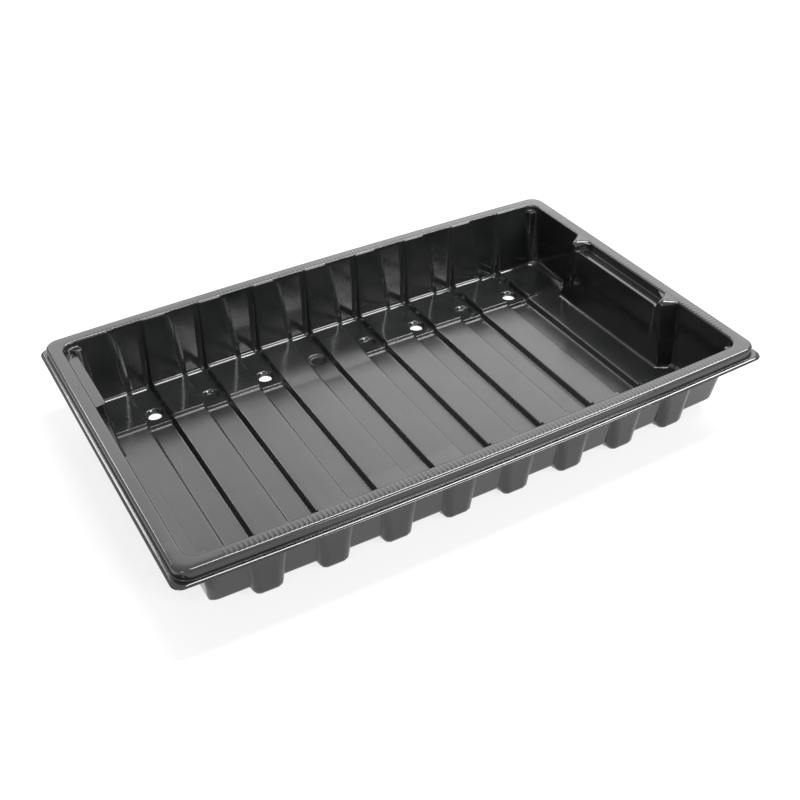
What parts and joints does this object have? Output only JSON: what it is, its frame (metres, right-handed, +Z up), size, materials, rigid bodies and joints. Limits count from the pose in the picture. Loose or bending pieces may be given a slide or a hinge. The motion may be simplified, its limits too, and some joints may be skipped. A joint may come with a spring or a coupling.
{
  "type": "seed tray",
  "caption": "Shallow vacuum-formed plastic seed tray with a turned-down rim and lip, fluted sloping walls, a channelled floor with drain dimples, and stacking ledges at its ends.",
  "frame": {"origin": "under the middle of the tray, on the surface it stands on", "axes": "+X along the tray towards the end with one middle ledge, +Y across it, +Z up"},
  "size_m": [0.38, 0.247, 0.052],
  "materials": {
    "tray_shell": "glossy black, a little softer on the floor and the rim"
  },
  "bodies": {
    "root": {"tray_shell": "tray_shell"}
  },
  "joints": []
}
